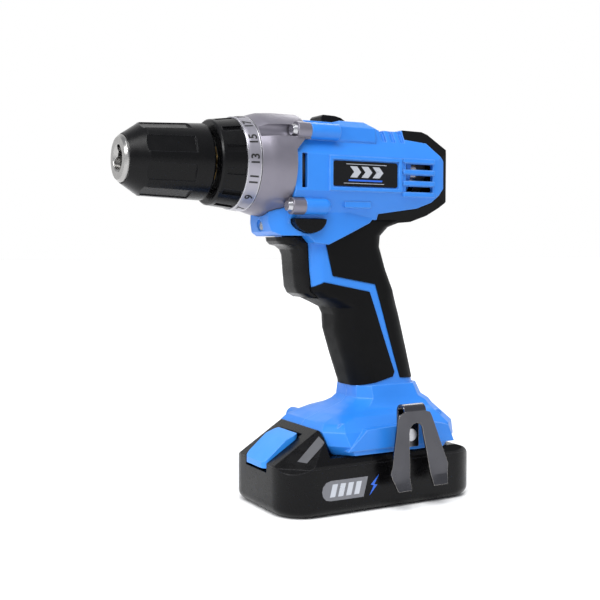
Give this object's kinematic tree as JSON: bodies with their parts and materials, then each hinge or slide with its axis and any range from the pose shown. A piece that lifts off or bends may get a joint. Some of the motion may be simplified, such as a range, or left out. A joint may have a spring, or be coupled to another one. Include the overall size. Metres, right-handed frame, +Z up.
{
  "type": "cordless drill",
  "caption": "Two-speed cordless drill with a keyless three-jaw chuck, numbered torque ring, pistol grip, trigger, belt clip and slide-on battery pack.",
  "frame": {"origin": "centre of the battery pack's base face, on which the drill stands", "axes": "+Z up; the chuck points along -X; +Y is the user's right when holding the drill, -Y the user's left, where the belt clip is"},
  "size_m": [0.2029, 0.0825, 0.2155],
  "materials": {
    "blue": "satin moulded blue plastic",
    "blue_soft": "satin blue plastic",
    "black_plastic": "fine-grained black plastic",
    "rubber": "matt soft-touch black rubber",
    "cover_metal": "satin cast metal",
    "ring_metal": "satin metal with dark numbers",
    "dark_steel": "dark oiled steel",
    "steel": "plain steel",
    "spring_steel": "drawn wire",
    "gear_steel": "sintered steel, oiled",
    "zinc": "zinc-plated",
    "clip_steel": "dark plated sheet steel",
    "brass": "plain brass",
    "copper": "copper alloy",
    "magnet": "ferrite",
    "core_iron": "stacked laminations",
    "inner_plastic": "glass-filled nylon",
    "red_plastic": "moulded plastic",
    "board_green": "lacquered board",
    "cell_wrap": "shrink sleeve",
    "lens": "clear"
  },
  "bodies": {
    "housing": {"housing_left": "blue", "housing_right": "blue", "housing_screws": "zinc", "gear_cover": "cover_metal", "gear_cover_screws": "zinc", "gearbox_case": "inner_plastic", "spindle_bearing": "brass", "clutch_ring_gear": "gear_steel", "clutch_balls": "steel", "clutch_washer": "steel", "clutch_spring": "spring_steel", "motor_can": "zinc", "motor_magnets": "magnet", "motor_end_cap": "inner_plastic", "motor_brushes": "copper", "trigger_switch": "red_plastic", "heat_sink": "cover_metal", "trigger_spring": "spring_steel", "lamp_lens": "lens", "grip_front": "rubber", "grip_rear": "rubber", "rear_bumper": "rubber", "terminal_block": "inner_plastic", "terminal_blades": "copper", "clip_inserts": "brass", "belt_clip": "clip_steel", "clip_screw": "zinc"},
    "chuck": {"spindle": "steel", "chuck_body": "steel"},
    "chuck_sleeve": {"chuck_sleeve": "black_plastic", "jaw_nut": "steel"},
    "jaw_1": {"jaw_1": "steel"},
    "jaw_2": {"jaw_2": "steel"},
    "jaw_3": {"jaw_3": "steel"},
    "torque_ring": {"torque_collar": "black_plastic", "number_ring": "ring_metal"},
    "clutch_nut": {"clutch_nut": "inner_plastic"},
    "speed_selector": {"speed_button": "black_plastic", "shift_fork": "inner_plastic", "shift_ring_gear": "gear_steel"},
    "direction_lever": {"direction_lever": "black_plastic"},
    "trigger": {"trigger": "black_plastic"},
    "rotor": {"rotor_shaft": "steel", "rotor_core": "core_iron", "cooling_fan": "inner_plastic"},
    "carrier": {"planet_carrier": "gear_steel"},
    "planet_1_1": {"planet_1_1": "gear_steel"},
    "planet_1_2": {"planet_1_2": "gear_steel"},
    "planet_1_3": {"planet_1_3": "gear_steel"},
    "planet_2_1": {"planet_2_1": "gear_steel"},
    "planet_2_2": {"planet_2_2": "gear_steel"},
    "planet_2_3": {"planet_2_3": "gear_steel"},
    "battery": {"battery_base": "black_plastic", "battery_top": "black_plastic", "battery_screws": "zinc", "battery_cells": "cell_wrap", "cell_holder": "inner_plastic", "battery_board": "board_green"},
    "release_button": {"release_button": "blue_soft"}
  },
  "joints": [
    {"name": "chuck_spin", "type": "hinge", "parent": "housing", "child": "chuck", "pos_m": [-0.1, 0, 0.187], "axis": [1, 0, 0], "continuous": true},
    {"name": "carrier_spin", "type": "hinge", "parent": "housing", "child": "carrier", "pos_m": [-0.0426, 0, 0.187], "axis": [1, 0, 0], "continuous": true},
    {"name": "rotor_spin", "type": "hinge", "parent": "housing", "child": "rotor", "pos_m": [0.007, 0, 0.187], "axis": [1, 0, 0], "continuous": true},
    {"name": "planet_2_1_spin", "type": "hinge", "parent": "chuck", "child": "planet_2_1", "pos_m": [-0.0507, 0.01125, 0.187], "axis": [1, 0, 0], "continuous": true},
    {"name": "planet_2_2_spin", "type": "hinge", "parent": "chuck", "child": "planet_2_2", "pos_m": [-0.0507, -0.00562, 0.19674], "axis": [1, 0, 0], "continuous": true},
    {"name": "planet_2_3_spin", "type": "hinge", "parent": "chuck", "child": "planet_2_3", "pos_m": [-0.0507, -0.00562, 0.17726], "axis": [1, 0, 0], "continuous": true},
    {"name": "planet_1_1_spin", "type": "hinge", "parent": "carrier", "child": "planet_1_1", "pos_m": [-0.0345, 0.01125, 0.187], "axis": [1, 0, 0], "continuous": true},
    {"name": "planet_1_2_spin", "type": "hinge", "parent": "carrier", "child": "planet_1_2", "pos_m": [-0.0345, -0.00562, 0.19674], "axis": [1, 0, 0], "continuous": true},
    {"name": "planet_1_3_spin", "type": "hinge", "parent": "carrier", "child": "planet_1_3", "pos_m": [-0.0345, -0.00562, 0.17726], "axis": [1, 0, 0], "continuous": true},
    {"name": "sleeve_turn", "type": "hinge", "parent": "chuck", "child": "chuck_sleeve", "pos_m": [-0.1135, 0, 0.187], "axis": [1, 0, 0], "range_deg": [-2300, 2080]},
    {"name": "jaw_1_slide", "type": "slide", "parent": "chuck", "child": "jaw_1", "axis": [-0.9744, 0, -0.225], "range_m": [-0.0097, 0.00885]},
    {"name": "jaw_2_slide", "type": "slide", "parent": "chuck", "child": "jaw_2", "axis": [-0.9744, 0.1948, 0.1125], "range_m": [-0.0097, 0.00885]},
    {"name": "jaw_3_slide", "type": "slide", "parent": "chuck", "child": "jaw_3", "axis": [-0.9744, -0.1948, 0.1125], "range_m": [-0.0097, 0.00885]},
    {"name": "torque_ring_turn", "type": "hinge", "parent": "housing", "child": "torque_ring", "pos_m": [-0.0816, 0, 0.187], "axis": [1, 0, 0], "range_deg": [-212.5, 0]},
    {"name": "clutch_nut_slide", "type": "slide", "parent": "torque_ring", "child": "clutch_nut", "axis": [1, 0, 0], "range_m": [-0.0042, 0], "deforming": ["clutch_spring"]},
    {"name": "speed_selector_slide", "type": "slide", "parent": "housing", "child": "speed_selector", "axis": [1, 0, 0], "range_m": [-0.005, 0]},
    {"name": "direction_lever_slide", "type": "slide", "parent": "housing", "child": "direction_lever", "axis": [0, 1, 0], "range_m": [-0.003, 0.003]},
    {"name": "trigger_slide", "type": "slide", "parent": "housing", "child": "trigger", "axis": [1, 0, 0], "range_m": [0, 0.0065], "stiffness_N_per_m": 900, "springref_m": -0.004, "deforming": ["trigger_spring"]},
    {"name": "battery_slide", "type": "slide", "parent": "housing", "child": "battery", "axis": [-1, 0, 0], "range_m": [0, 0.1]},
    {"name": "release_press", "type": "slide", "parent": "battery", "child": "release_button", "axis": [0.45, 0, -0.893], "range_m": [0, 0.0018], "stiffness_N_per_m": 1200, "springref_m": -0.0008}
  ],
  "couplings": [
    {"joint": "carrier_spin", "follows": "chuck_spin", "ratio": 5},
    {"joint": "rotor_spin", "follows": "chuck_spin", "ratio": 25},
    {"joint": "planet_2_1_spin", "follows": "chuck_spin", "ratio": -2.6667},
    {"joint": "planet_2_2_spin", "follows": "chuck_spin", "ratio": -2.6667},
    {"joint": "planet_2_3_spin", "follows": "chuck_spin", "ratio": -2.6667},
    {"joint": "planet_1_1_spin", "follows": "chuck_spin", "ratio": -13.333},
    {"joint": "planet_1_2_spin", "follows": "chuck_spin", "ratio": -13.333},
    {"joint": "planet_1_3_spin", "follows": "chuck_spin", "ratio": -13.333},
    {"joint": "jaw_1_slide", "follows": "sleeve_turn", "m_per_rad": 0.00023873},
    {"joint": "jaw_2_slide", "follows": "sleeve_turn", "m_per_rad": 0.00023873},
    {"joint": "jaw_3_slide", "follows": "sleeve_turn", "m_per_rad": 0.00023873},
    {"joint": "clutch_nut_slide", "follows": "torque_ring_turn", "m_per_rad": 0.00108}
  ]
}
